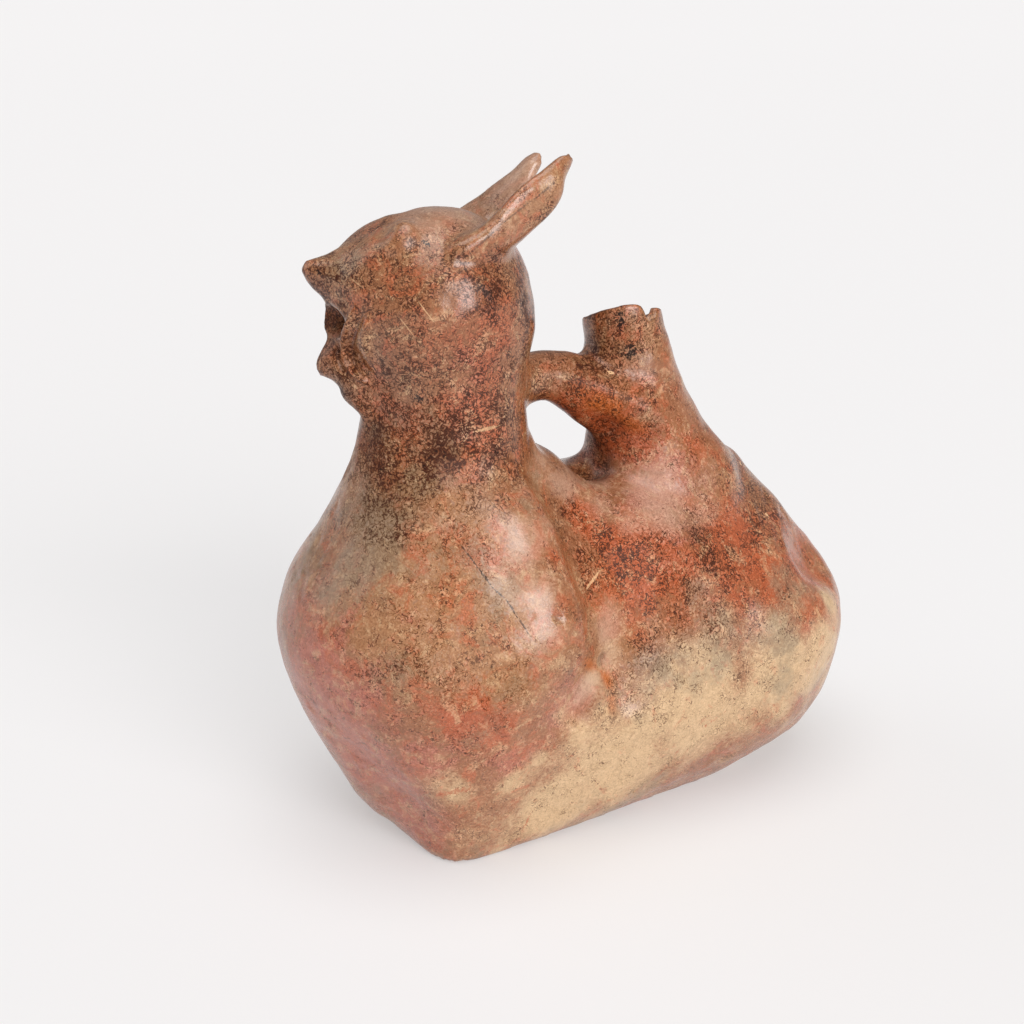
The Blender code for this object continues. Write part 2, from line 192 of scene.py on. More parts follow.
def along_path(points, path):
    """Distance of each point from a path, and how far along it the nearest place is, from 0 to 1."""
    path = np.array(path, float)
    best, share = np.full(len(points), np.inf), np.zeros(len(points))
    for i, (a, b) in enumerate(zip(path, path[1:])):
        t = np.clip((points - a) @ (b - a) / max((b - a) @ (b - a), 1e-12), 0, 1)
        distance = np.linalg.norm(points - a - t[:, None] * (b - a), axis=1)
        nearer = distance < best
        best[nearer] = distance[nearer]
        share[nearer] = (i + t[nearer]) / (len(path) - 1)
    return best, share


def curve_through(stops, steps=6):
    """Points on a smooth curve through the given places."""
    stops = [Vector(s) for s in stops]
    padded = [2 * stops[0] - stops[1], *stops, 2 * stops[-1] - stops[-2]]
    line = []
    for a, b, c, d in zip(padded, padded[1:], padded[2:], padded[3:]):
        for step in range(steps):
            t = step / steps
            line.append(0.5 * (2 * b + (c - a) * t + (2 * a - 5 * b + 4 * c - d) * t ** 2
                               + (3 * b - a - 3 * c + d) * t ** 3))
    return line + [stops[-1]]


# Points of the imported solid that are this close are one
SAME_PLACE = 1e-6
# How far off the skin a place is tried for lying in the hollow, in how many ways, and the turn between them
OFF_THE_SKIN, TRIED_WAYS, GOLDEN_TURN = 0.0008, 16, 2.39996


def even_skin(node, grain):
    """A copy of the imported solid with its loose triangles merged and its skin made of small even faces, and the
    solid's own points with whether each lies in the hollow."""
    mesh = node.data.copy()
    shape = bmesh.new()
    shape.from_mesh(mesh)
    bmesh.ops.remove_doubles(shape, verts=shape.verts, dist=SAME_PLACE)
    shape.to_mesh(mesh)
    tree = BVHTree.FromBMesh(shape)
    inside = [is_inside(v.co + OFF_THE_SKIN * v.normal, tree) for v in shape.verts]
    places = [v.co.copy() for v in shape.verts]
    shape.free()
    coarse = bpy.data.objects.new("coarse skin", mesh)
    bpy.context.scene.collection.objects.link(coarse)
    remesh = coarse.modifiers.new("small even faces", "REMESH")
    remesh.mode = "VOXEL"
    remesh.voxel_size = grain
    fine = settled(coarse)
    return fine, places, inside


def is_inside(place, tree):
    """Whether a place just off the skin is in the hollow: nearly every way out of it meets clay."""
    met = 0
    for i in range(TRIED_WAYS):
        up = 1 - (2 * i + 1) / TRIED_WAYS
        turn = GOLDEN_TURN * i
        out = math.sqrt(1 - up * up)
        if tree.ray_cast(place, Vector((out * math.cos(turn), out * math.sin(turn), up)))[0] is not None:
            met += 1
    return met >= TRIED_WAYS - 1


def settled(obj):
    """The plain mesh that an object's modifiers give, in place of the object."""
    graph = bpy.context.evaluated_depsgraph_get()
    graph.update()
    mesh = bpy.data.meshes.new_from_object(obj.evaluated_get(graph))
    name, old = obj.name, obj.data
    bpy.data.objects.remove(obj, do_unlink=True)
    bpy.data.meshes.remove(old)
    result = bpy.data.objects.new(name, mesh)
    bpy.context.scene.collection.objects.link(result)
    return result


def hollow_share(mesh, places, inside):
    """1 for each point of the fine skin that lies in the hollow, and 0 outside."""
    tree = KDTree(len(places))
    for i, place in enumerate(places):
        tree.insert(place, i)
    tree.balance()
    return np.array([float(inside[tree.find(v.co)[1]]) for v in mesh.vertices])


def thin_the_hollow(obj, hollow, faces_left):
    """Fewer faces on the skin of the hollow, which is seen only through the spout."""
    mesh = obj.data
    group = obj.vertex_groups.new(name="hollow")
    group.add([int(i) for i in np.nonzero(hollow > 0.5)[0]], 1.0, "REPLACE")
    triangles = sum(len(p.vertices) - 2 for p in mesh.polygons)
    kept = sum(len(p.vertices) - 2 for p in mesh.polygons if all(hollow[v] < 0.5 for v in p.vertices))
    thin = obj.modifiers.new("coarse hollow", "DECIMATE")
    thin.ratio = (kept + faces_left) / triangles
    thin.vertex_group = "hollow"
    result = settled(obj)
    result.vertex_groups.clear()
    return result


def refine(mesh, places):
    """Splits the faces round the given (place, reach) spots in four."""
    shape = bmesh.new()
    shape.from_mesh(mesh)
    edges = [e for e in shape.edges
             if any((e.verts[0].co - c).length < r and (e.verts[1].co - c).length < r for c, r in places)]
    bmesh.ops.subdivide_edges(shape, edges=edges, cuts=1, use_grid_fill=True, smooth=0.0)
    bmesh.ops.triangulate(shape, faces=[f for f in shape.faces if len(f.verts) > 4])
    shape.to_mesh(mesh)
    shape.free()


class Relief:
    """Small forms pressed into the skin or raised on it, gathered and then moved along the normals."""

    def __init__(self, mesh, outside):
        self.points = points_of(mesh)
        self.outside = outside
        self.height = np.zeros(len(self.points))

    def near(self, places, reach):
        """The outer points in the box round some places."""
        low = np.min(np.array(places, float), 0) - reach
        high = np.max(np.array(places, float), 0) + reach
        return np.nonzero(np.all((self.points > low) & (self.points < high), axis=1) & (self.outside > 0.5))[0]

    def line(self, stops, half_width, height, taper=0.3):
        """A ridge, or a groove where the height is negative, that fades toward both ends."""
        path = curve_through(stops)
        here = self.near(path, 4 * half_width)
        distance, share = along_path(self.points[here], path)
        fade = soft_step(0.0, taper, share) * soft_step(0.0, taper, 1 - share)
        self.height[here] += height * np.exp(-(distance / half_width) ** 2) * fade

    def fold(self, stops, before, behind, height, taper):
        """A broad soft fold that rises slowly on the side toward -Y and falls faster toward +Y."""
        path = np.array(curve_through(stops), float)
        here = self.near(path, 3 * before)
        distance, share = along_path(self.points[here], path)
        crest = np.interp(share * (len(path) - 1), np.arange(len(path)), path[:, 1])
        width = before + (behind - before) * soft_step(-behind, behind, self.points[here, 1] - crest)
        fade = soft_step(0.0, taper, share) * soft_step(0.0, taper, 1 - share)
        self.height[here] += height * np.exp(-(distance / width) ** 2) * fade

    def pit(self, place, radius, depth, lip=0.0):
        """A round pit, or a knob where the depth is negative, with a raised lip just past its edge if asked."""
        here = self.near([place], 4 * radius)
        distance = np.linalg.norm(self.points[here] - np.array(place), axis=1) / radius
        self.height[here] += lip * np.exp(-((distance - 1.25) / 0.45) ** 2) - depth * np.exp(-distance ** 2)

    def chip(self, place, radius, depth, seed):
        """A flake lost from the surface, with a crisp uneven edge and a flat floor."""
        here = self.near([place], 2 * radius)
        spot = self.points[here]
        distance = np.linalg.norm(spot - np.array(place), axis=1) / radius
        distance += 0.35 * swells(spot, 1.1 * radius, seed)
        self.height[here] -= depth * soft_step(0.25, 0.0, distance - 0.75)

    def press(self, mesh):
        """Moves the skin by what was gathered, and keeps it on the ground."""
        mesh.update()
        normals = read(mesh.vertex_normals, "vector", 3).astype(float)
        moved = self.points + normals * (self.height * self.outside)[:, None]
        moved[:, 2] = np.maximum(moved[:, 2], 0.0)
        move_to(mesh, moved)
        self.points = moved


# Lines and places on the skin, in millimetres; those of the head are on its near side
CHEEK_RIM = metres([(8, -93.9, 207), (5.1, -96.1, 200), (0.5, -95.9, 192.2), (0.1, -94.9, 185.8), (3.3, -92.4, 181.2),
                    (6.6, -88.3, 178.6)])
CHEEK_VALLEY = metres([(10.8, -92.2, 205.8), (7.5, -94, 198), (3.6, -94.4, 191.1), (3, -92.8, 185.3),
                       (5.6, -90.2, 181.7)])
CHIN_GROOVE = metres([(-1.5, -96.4, 194), (-2.8, -96.1, 188.8), (-1.4, -95.9, 184.2), (0.6, -94, 179.9)])
CHEEK_FOLD = metres([(12.3, -91.1, 205.4), (10.8, -92.2, 195.8), (8.8, -90.6, 187)])
EYE_LID = metres([(5.8, -81.8, 230.7), (4.2, -78.3, 232.6), (5, -74.4, 233.4), (8.8, -72.3, 233),
                  (14.9, -73.3, 231.2)])
EYE_HOLLOW = metres((9.6, -83.6, 230))
EYE_BUMP = metres((12, -77.7, 232.8))
EYE_FOLD = metres([(6, -85.6, 228.1), (12.7, -85.1, 225.9), (16, -82.5, 223.8)])
EAR_CREASE = metres([(29.2, -63, 224.4), (31.4, -57.8, 226.9), (33.3, -51.3, 232.2), (34.2, -43.9, 237),
                     (34.6, -38.8, 241), (33.9, -32.6, 244.8)])
FAR_EAR_CREASE = metres([(-9.7, -36.7, 231.8), (-6.4, -30.7, 235.7), (-3, -24.1, 240.9)])
SHOULDER_FOLD = metres([(33.3, -52.1, 154.7), (36.2, -45.4, 141.7), (41.6, -40.8, 129.6), (48.1, -39, 118.3),
                        (55.7, -38.6, 106.6), (60, -37, 92.1), (57, -30, 73.5)])
SHOULDER_CREASE = metres([(23.6, -9.3, 128.3), (40, -15.7, 111.4), (47.3, -18.8, 94.8), (49.5, -20.5, 79)])
BELLY_KNOB = metres((51.2, -25.5, 63.2))
WAIST_PIT = metres((49, -20, 76.5))
NECK_RING = metres([(-0.6, -88.5, 156.9), (17.2, -83.5, 156.3), (28.3, -69.9, 155), (30, -51.2, 154.8)])
HANDLE_CHIP = metres((11.5, 6.9, 172.9))
SPOUT_RIM = Vector(metres((0, 18.4, 191.5)))
RIM_NOTCH = metres((13.9, 22.2, 194))
BELLY_FLAT = metres((56.2, -63.5, 103))
# Where the clay leaves the solid's smooth form a little: place, reach and shift, in millimetres
NUDGES = [(2, 3, 147, 12, 0, 0, -6.2), (32.5, -30.6, 247.1, 7, -1.3, -1.2, 1.6),
          (33.9, -38.7, 241.8, 8, -1.8, -1.6, 2.2), (33.8, -44, 237.9, 8, -1.5, -1.4, 1.9),
          (33, -49.7, 234.3, 8, -1, -0.9, 1.2), (31.2, -25.9, 250.7, 6, -0.6, -0.4, 0.9),
          (26.5, -94.9, 25.9, 16, 0.6, 2.2, 1.7), (35.9, -82, 11.9, 13, 0.7, 2.1, 1.4),
          (21.3, -107.6, 47.4, 16, 0.2, 1.1, 1), (34.4, 95.4, 89, 12, -0.5, -1.6, -1.2),
          (24.8, 76.6, 112.2, 14, -0.2, -0.8, -0.8), (2.7, -2.2, 157, 7, 1.3, 0.1, -1.8),
          (21.9, -105.6, 43.5, 16, 0.5, 1.8, 1.4), (27.6, -93.1, 23.5, 14, 0.4, 1.9, 1.7),
          (13.8, -116, 63.8, 16, 0.4, 1, 0.3), (35, 89.2, 93.4, 14, -0.5, -1.6, -1.1),
          (23.6, 72.1, 116, 14, -0.1, -0.7, -0.8), (-4.2, -106.6, 118.5, 18, 0.7, 0.8, -0.5),
          (-1.7, -113.1, 109.1, 16, 0.4, 0.6, 0), (13.5, -8.2, 136.3, 6, 0.5, -0.3, -1.8),
          (9.2, -8.2, 163.2, 6, 0.4, -0.2, -1.6), (34.1, -31.9, 242.8, 8, 0.8, 1.1, -0.3),
          (31.4, -26.8, 250.1, 7, 0.4, 0.9, 0.3), (31.7, -34.4, 245.3, 6, -0.5, -0.5, 0.6),
          (-9.1, -103.5, 217.4, 6, -0.4, -0.5, 0.3), (-17, -93.1, 195.4, 6, -0.5, -0.9, 0),
          (-7.8, -99.5, 181.2, 6, 0, 0.4, 0.7), (-14.5, -38.2, 232.8, 8, 0.6, 0.5, -0.8),
          (6.1, 5.1, 192.1, 6, -0.2, 0.1, 0.7), (0.8, 4.4, 179.9, 5, 0.8, 0.9, -0.7),
          (14.8, 30.1, 175.9, 8, 0.3, 0.5, 0), (20.5, 40.9, 148.3, 10, -0.2, -0.8, -0.5),
          (48.1, 29, 17.4, 16, -0.4, 0, 1.1), (45.7, 6.7, 13.7, 14, -0.4, 0, 1.1), (3.3, -7, 162.5, 6, 0, 0, -1.8),
          (4.3, -0.1, 135, 7, 1.2, 0.2, -2.9), (13.9, -28.3, 150.7, 6, 0.1, 0.8, 1),
          (32.2, -26.9, 248.9, 10, -0.9, -0.6, 1.3), (34.1, -36.2, 243, 8, -0.8, -0.7, 0.9),
          (-2.5, -15.7, 250.3, 8, -0.6, -0.9, 0.3), (-4.7, -21, 246.2, 8, -0.6, -0.5, 0.7),
          (11.4, 10.4, 194.8, 7, -0.4, 0.2, 1.4), (14.1, 17.5, 194.5, 7, -0.3, 0.2, 1.1),
          (-18, -92.6, 196.3, 6, -0.5, -0.9, 0), (-10.4, -100.1, 184.3, 7, -0.4, -1, -0.3),
          (-3, -95.3, 178.8, 7, -0.2, -1.1, -1), (-10.5, -100.9, 126.2, 18, 0.6, 0.9, -0.3),
          (49.9, 85.2, 33.9, 16, -1, -1.3, 0.8), (47.8, 67.1, 18.5, 14, -1, -0.9, 1.2),
          (38.2, 88.8, 90.6, 16, -0.7, -1.9, -1.1), (48.7, 94.2, 69.2, 12, 0.6, 1.1, 0),
          (19.2, 42.8, 148.9, 12, -0.5, -1.1, -0.4), (17, 60.1, 132.4, 10, 0.1, 0.9, 1.1),
          (23.2, -36.9, 214.1, 14, -0.7, -1.2, 0), (22.9, -35.1, 193, 10, 0.5, 0.9, 0),
          (-2.6, -89.8, 226.6, 12, 0.6, 0.4, -1), (-2.9, -82.1, 232.1, 10, 0.6, 0.4, -1),
          (13, 22.6, 195.5, 3, 0, 0, -5.5), (-19.7, -69.2, 233.5, 8, 0, 0.6, -2.4),
          (49, -22.2, 64, 8.5, 2, -1.2, 0.8), (48.7, -20.5, 91.8, 12, 1.8, -1, 0.7), (3.5, 5, 140, 6, 1.2, 2, -2),
          (24, -101, 36, 24, 0.2, 0.7, 0.6), (33, -86, 16, 14, 0.2, 0.8, 0.8), (48.1, 33, 18, 14, -0.3, 0, 0.8),
          (0.2, -88, 168.2, 6, -1, -1.8, 0), (1.4, -90, 171.3, 6, -0.4, -1, -0.3),
          (-1.3, -106.3, 119.4, 14, 0.3, 0.5, 0), (1.2, 4.2, 179.2, 6, 0.3, 0.3, -0.4),
          (-11.6, -34, 235, 7, 0.2, -0.1, -0.7), (33.6, -30.8, 241.7, 8, 1.6, 2.5, -0.5),
          (32.5, -34, 236.2, 6, 0.6, 0.8, -0.3), (1.3, -79.6, 232.7, 6, 0.3, 0, -0.8),
          (34.9, 99.8, 84.8, 11, -0.8, -2.2, -1.5), (3, 4, 137, 7, 0, 0, -5)]


def nudged(points):
    """The points with the clay pushed a little to its real form."""
    for x, y, z, reach, *shift in metres(NUDGES):
        distance = np.linalg.norm(points - (x, y, z), axis=1) / reach
        points = points + np.exp(-distance ** 2)[:, None] * np.array(shift)
    return points


# The part of the spout that is evened, out from its middle and up and down, in metres, and its sectors
RIM_REACH, RIM_BAND, RIM_SECTORS = 0.019, 0.013, 36
# Nearer to the notch than the first length the broken rim stays, and past the second it is evened. The line
# through the rim's crests leaves out those that are nearer than the width
NOTCH_REACH, NOTCH_WIDTH = (0.003, 0.006), 0.005
# Heights over the evened line, and what they are worn down to
RIM_HEIGHTS, WORN_HEIGHTS = (-0.05, -0.0060, -0.0014, 0.0, 0.0020), (-0.05, -0.0060, -0.0004, 0.0, 0.0002)


def evened_rim(points):
    """The points with the spout's rim worn to one slanting line, but for its notch."""
    across = points - np.array(SPOUT_RIM)
    near = np.nonzero((np.hypot(across[:, 0], across[:, 1]) < RIM_REACH) & (np.abs(across[:, 2]) < RIM_BAND))[0]
    bearing = np.arctan2(across[near, 1], across[near, 0])
    height = points[near, 2]
    waves = np.stack([np.ones_like(bearing), np.cos(bearing), np.sin(bearing), np.cos(2 * bearing),
                      np.sin(2 * bearing)], 1)
    part = ((bearing + math.pi) / (2 * math.pi) * RIM_SECTORS).astype(int) % RIM_SECTORS
    crest = np.array([np.nonzero(part == i)[0][np.argmax(height[part == i])] for i in range(RIM_SECTORS)])
    apart = np.linalg.norm(points[near] - RIM_NOTCH, axis=1)
    whole = crest[apart[crest] > NOTCH_WIDTH]
    line = waves @ np.linalg.lstsq(waves[whole], height[whole], rcond=None)[0]
    worn = line + np.interp(height - line, RIM_HEIGHTS, WORN_HEIGHTS)
    points = points.copy()
    points[near, 2] += soft_step(*NOTCH_REACH, apart) * (worn - height)
    return points


def carve(mesh, outside, sizes):
    """The fine relief of the head, the waist and the handle, and the unevenness of the hand-built wall.
    Gives the depth of each point in its crease or pit, where the finish paints shade."""
    relief = Relief(mesh, outside)
    tree = BVHTree.FromPolygons([v.co for v in mesh.vertices], [p.vertices for p in mesh.polygons])
    high = sizes.rim_height
    # Both sides of the head, with the far eye fainter: half widths in metres, heights in shares of the rim's
    for side, eye in ((1, 1.0), (-1, 0.15)):
        for line, half_width, share, taper in (
                (CHEEK_RIM, 0.0009, 1.0, 0.12), (CHEEK_VALLEY, 0.0012, -0.8, 0.3), (CHEEK_FOLD, 0.0014, 0.6, 0.3),
                (CHIN_GROOVE, 0.0010, -0.7, 0.3), (EYE_LID, 0.0016, 0.4 * eye, 0.3),
                (EYE_FOLD, 0.0016, 0.4 * eye, 0.3)):
            relief.line([over_head(tree, place, side) for place in line], half_width, share * high, taper)
        relief.pit(over_head(tree, EYE_HOLLOW, side), 0.0034, 0.6 * eye * high)
        relief.pit(over_head(tree, EYE_BUMP, side), 0.0038, -0.8 * eye * high)
    relief.line(EAR_CREASE, 0.0010, -0.4 * high, 0.2)
    relief.line(FAR_EAR_CREASE, 0.0010, -0.4 * high)
    relief.line(NECK_RING, 0.0022, -0.16 * high)
    relief.line(SHOULDER_CREASE, 0.0045, -sizes.crease_depth)
    relief.pit(WAIST_PIT, 0.0040, sizes.pit_depth, lip=0.3 * sizes.pit_depth)
    relief.chip(HANDLE_CHIP, 0.0018, 0.0005, 5)
    depth = relief.height.copy()
    fold = [tree.find_nearest(Vector(place))[0] for place in SHOULDER_FOLD]
    relief.fold(fold, 0.017, 0.008, sizes.fold_height, 0.25)
    relief.pit(BELLY_FLAT, 0.018, 0.4 * sizes.fold_height)
    relief.pit(BELLY_KNOB, 0.0082, -1.1 * sizes.fold_height)
    # The wall is uneven in swells of 34 mm and dents of 11 mm, but not on the base and the thin rim
    base = soft_step(0.0, 0.006, relief.points[:, 2])
    rim = soft_step(0.012, 0.022, np.linalg.norm(relief.points - np.array(SPOUT_RIM), axis=1))
    relief.height += base * rim * (sizes.unevenness * swells(relief.points, 0.034, 11)
                                   + sizes.dimples * swells(relief.points, 0.011, 23))
    relief.press(mesh)
    return depth


def over_head(tree, place, side):
    """A place on the head's near side, or its mirror image over the head's own middle on the far side."""
    place = Vector(place)
    if side < 0:
        across = head_point(0, 1, 0) - HEAD_CENTRE
        across.normalize()
        place -= 2 * across.dot(place - HEAD_CENTRE) * across
    return tree.find_nearest(place)[0]


# Where the slip changes: x, y, z and reach in millimetres, and the strength of each area
RED_AREAS = [(20, -82, 162, 14, 0.6), (28, -62, 162, 14, 0.6), (10, -88, 168, 12, 0.5), (44, 0, 109, 20, 1.0),
             (39, 50, 104, 24, 0.9), (51, 66, 88, 20, 1.0), (45, 88, 85, 18, 1.0), (47, 20, 100, 16, 0.8),
             (32, -52, 203, 14, 0.5), (28, -64, 172, 11, 0.7), (12, -3, 160, 14, 1.0), (12, 12, 148, 14, 1.0),
             (54, -82, 70, 10, 0.9), (57, -67, 63, 9, 0.8), (42, -70, 126, 10, 0.5), (28, -12, 128, 10, 0.7),
             (0, 110, 85, 30, 0.8), (-44, 30, 107, 36, 0.9), (-30, -52, 205, 20, 0.5), (-52, -60, 80, 22, 0.5),
             (28, -68, 197, 14, 0.45), (26, -94, 14, 16, 0.9)]
ROSE_AREAS = [(17, -117, 70, 26, 1.0), (21, -105, 41, 24, 1.0), (26, -91, 19, 16, 0.9), (7, -119, 94, 20, 0.5),
              (46, -92, 50, 14, 0.6), (53, -60, 48, 12, 0.5), (56, -40, 66, 12, 0.5), (30, 20, 133, 18, 0.7),
              (14, -118, 92, 16, 0.6), (28, -114, 78, 16, 0.7), (12, 12, 188, 12, 0.2), (28, -64, 190, 14, 0.3),
              (-30, -100, 60, 36, 0.8), (-20, 30, 133, 22, 0.6)]
TAN_AREAS = [(49, -20, 92, 10, 0.9), (50, -18, 80, 10, 0.9), (22, -86, 141, 18, 0.7), (39, -72, 125, 26, 1.0),
             (40, -95, 104, 26, 0.9), (55, -70, 100, 26, 1.0), (30, -40, 243, 20, 0.7), (3, -40, 240, 20, 0.6),
             (30, 52, 130, 14, 0.6), (-30, -90, 120, 36, 0.9), (16, 20, 188, 14, 0.8), (6, 0, 176, 10, 0.5),
             (10, -78, 229, 12, 0.5), (-30, -30, 240, 18, 0.7)]
BUFF_AREAS = [(52, -13, 35, 28, 1.0), (58, 19, 50, 26, 1.0), (60, 56, 56, 22, 1.0), (54, 84, 56, 20, 1.0),
              (47, -35, 18, 22, 1.0), (40, -68, 14, 16, 0.3), (46, -80, 38, 10, 0.6), (0, 105, 35, 34, 0.9),
              (-55, 30, 45, 42, 0.9), (-45, -35, 20, 30, 0.8)]
SOOT_AND_SHADE_AREAS = [(16, -83, 165, 12, 0.5), (27, -69, 163, 12, 0.55), (29, -51, 173, 10, 0.35), (10, -88, 154, 12, 0.8),
              # The areas at (25, -23, 131), (42, -10, 110) and (17, -19, 140) lie on the back of the shoulder,
              # between its fold and its crease: their darker stain is painted shade on the side that faces away from
              # the light
              (27, -73, 155, 9, 0.8), (30, -51, 154, 9, 0.5), (18, -88, 143, 12, 0.6), (25, -23, 131, 10, 0.5),
              (42, -10, 110, 8, 0.3), (17, -19, 140, 9, 0.5), (41, 30, 111, 9, 0.5), (32, -56, 213, 9, 0.7),
              (10, 8, 190, 10, 0.3), (12, 12, 150, 12, 0.45), (6, -4, 178, 9, 0.35), (-4, -103, 216, 6, 0.7),
              (20, -80, 182, 10, 0.3), (46, -97, 90, 10, 0.25), (22, 70, 115, 12, 0.4), (-28, -65, 168, 14, 0.6),
              (-40, 2, 115, 12, 0.6), (-16, -93, 195, 9, 0.75), (-6, -97, 192, 6, 0.6), (-7, -100, 209, 10, 0.6),
              # The area at (2, 4, 145) darkens the clay seen under the handle: painted shade
              (1, -96, 211, 8, 0.4), (16, -91, 140, 13, 0.55), (-3, -94, 174, 13, 0.55), (2, 4, 145, 10, 0.8),
              (18, 16, 150, 10, 0.4), (27, -38, 206, 12, 0.6), (26, -42, 182, 14, 0.1), (10, -3, 172, 12, 0.65),
              (28, 38, 134, 12, 0.35), (-20, 62, 122, 12, 0.5), (-12, -85, 160, 10, 0.6)]
FLECK_AREAS = [(0, -59, 200, 50, 1.0), (22, -60, 158, 30, 1.0), (44, 0, 112, 32, 1.0), (41, 32, 112, 30, 0.9),
               (0, 14, 180, 34, 0.7), (50, -80, 95, 30, 0.2), (20, 65, 115, 35, 0.7), (56, -10, 80, 26, 0.5),
               (-30, 0, 120, 60, 0.8), (58, 45, 78, 26, 0.35)]
# Where the smoke left an olive haze
HAZE_AREAS = [(19, -93, 134, 20, 0.9), (24, -79, 151, 12, 0.8), (0, -108, 120, 20, 0.8), (12, -105, 118, 20, 0.7),
              (8, -92, 160, 14, 0.8), (35, -85, 118, 20, 0.6), (46, -93, 90, 18, 0.5), (59, 54, 71, 20, 0.8),
              (56, 20, 78, 18, 0.7), (54, 84, 68, 16, 0.6), (-40, -70, 110, 30, 0.7), (-50, 50, 75, 26, 0.6)]
# Where a pale pink with few flecks is laid: painted sheen on the ears, the crown and what faces up, painted
# highlights along the shoulder fold and on the knob, and paler slip at the waist
PAINTED_SHEEN_AND_PALE_SLIP_AREAS = [(15.5, -26.2, 146.2, 10, 0.9), (21.7, -20.4, 135.5, 10, 0.9), (26.2, -6.5, 126.7, 11, 0.7),
               (30.6, 17.6, 125.8, 18, 1.0), (29, 38, 129, 16, 0.6), (33.4, -46, 139.2, 10, 0.6),
               (44, -50, 123, 12, 0.8), (51, -48, 110, 12, 0.8), (58, -46, 96, 9, 0.6), (52.5, -30, 69, 9, 1.0),
               (19, 29, 170, 14, 0.4), (14.5, 1, 133, 10, 0.8), (14, -11, 139, 10, 0.9), (13.8, 10.6, 134.2, 10, 0.6),
               (-20, 20, 133, 18, 0.6), (29.7, -71.6, 147.8, 7, 0.5), (49, -19, 88, 10, 1.0), (49.7, -18, 78, 9, 0.8),
               (31.3, -66.8, 209, 10, 0.35), (33, -36, 244, 16, 0.25), (33, -48, 234, 12, 0.5),
               (-4, -22, 245, 22, 1.0), (4, -56, 236, 22, 0.9), (12, -68, 232, 10, 0.8), (-20, -50, 232, 22, 0.8)]

# Marks on the skin: kind, width and the two ends they lie between, in millimetres, and how much they cover
MARKS = [("cream", 0.6, (4.2, -94.7, 215.9), (11.2, -91.8, 212), 0.4),
         ("cream", 0.7, (25.4, -80.4, 210.9), (30.4, -75.1, 201.6), 0.6),
         ("cream", 0.6, (21.8, -85.4, 205.1), (26.3, -80.5, 196.8), 0.5),
         ("soot", 2.8, (17.6, -74.6, 228.4), (21.3, -71.2, 226.1), 0.9),
         ("soot", 3, (-7.2, -102, 216.8), (-4, -100, 215), 0.85),
         ("crack", 1.4, (40.5, -72.2, 126.8), (46.1, -68.3, 119.6), 0.7),
         ("crack", 1.9, (46.1, -68.3, 119.6), (50.2, -65.5, 114.2), 0.75),
         ("crack", 1.6, (50.2, -65.5, 114.2), (53.4, -61.9, 109.9), 0.75),
         ("crack", 2.1, (53.4, -61.9, 109.9), (56.6, -59.4, 104.2), 0.75),
         ("crack", 1.4, (56.6, -59.4, 104.2), (59.2, -56.6, 98), 0.7),
         ("crack", 1.6, (33.2, -31.4, 245.9), (34.4, -39.4, 240.6), 0.5),
         ("crack", 1.6, (34.4, -39.4, 240.6), (32.5, -52.4, 232.8), 0.5),
         ("crack", 1.8, (32.5, -52.4, 232.8), (29.2, -62.6, 223.7), 0.5),
         ("cream", 1.7, (47.1, -26.6, 103.4), (40.8, -14.4, 108.1), 0.7),
         ("cream", 2, (29.5, -61.9, 163.4), (29, -50, 164), 0.6),
         ("red", 2.2, (41.6, -49, 8), (45.5, -46.3, 20), 0.75), ("red", 6, (41, -89, 36.5), (50, -70, 39.2), 0.6),
         ("red", 3, (55, 20, 37.5), (57.7, 32.6, 45.7), 0.65),
         ("cream", 2.2, (10.5, 5.5, 173.2), (12.5, 8.5, 172.4), 0.95),
         ("cream", 1.8, (12.5, 69, 128.2), (14, 70.4, 127.2), 0.9),
         ("cream", 1.8, (27.2, 73.5, 111), (28.4, 75, 110), 0.9),
         ("soot", 5, (11.4, 10.4, 196.5), (12, 11.2, 188), 0.9),
         ("soot", 10, (12.2, 11.5, 183.5), (14.9, 16.6, 176), 0.9),
         ("umber", 1.6, (14.5, 17, 192), (15.2, 18, 179), 0.7),
         ("soot", 4, (20, -80, 177), (23.6, -76.2, 174.5), 0.7),
         ("soot", 5, (31.8, -60.5, 214), (33.4, -55.2, 208.5), 0.6)]

# Slip that fired bright orange, under the handle and round the pit: width and ends in millimetres, and cover
BRIGHT_SLIP = [(20, (10, -10, 167), (19, 11, 157), 0.85), (14, (17, 3, 156), (21, 20, 147), 0.7),
               (8, (57.5, -37, 85), (50, -22.5, 73.5), 0.85), (8, (50.5, -23, 74), (49.2, -17.5, 63.3), 0.85),
               (8, (49.2, -17.5, 64), (53.3, -18.3, 54), 0.6)]

# Where the pebble couldn't reach, so that the clay stayed matt
MATT_AREAS = [(0.1, -94.9, 185.8, 8, 0.6), (48.4, -79.2, 111.6, 17, 1.0), (55.8, -77.6, 99.4, 17, 1.0),
              (61, -68, 86, 14, 0.9), (40, -74, 125, 14, 0.8), (12, -6, 171, 12, 0.8), (24, 30, 140, 15, 0.8),
              (2, 4, 145, 10, 1.0), (12.5, 12, 185, 12, 0.6), (32.5, -5.3, 122.5, 18, 0.9),
              (42.9, -7.4, 106.6, 20, 1.0), (48, -12.1, 89.7, 18, 1.0), (50.5, 5, 95, 18, 0.9),
              (25.8, -76.4, 151.1, 16, 1.0), (4.7, -88.2, 156.3, 16, 0.8), (15.9, -91, 139.8, 14, 0.7),
              (18.2, 6.7, 163.3, 12, 0.7), (14.4, 0.4, 161.3, 10, 0.7), (-15.8, -92.8, 195.2, 10, 1.0),
              (18.3, 16.1, 150.4, 12, 0.5), (-45, -10, 100, 26, 0.9), (-25, -70, 152, 18, 0.8)]


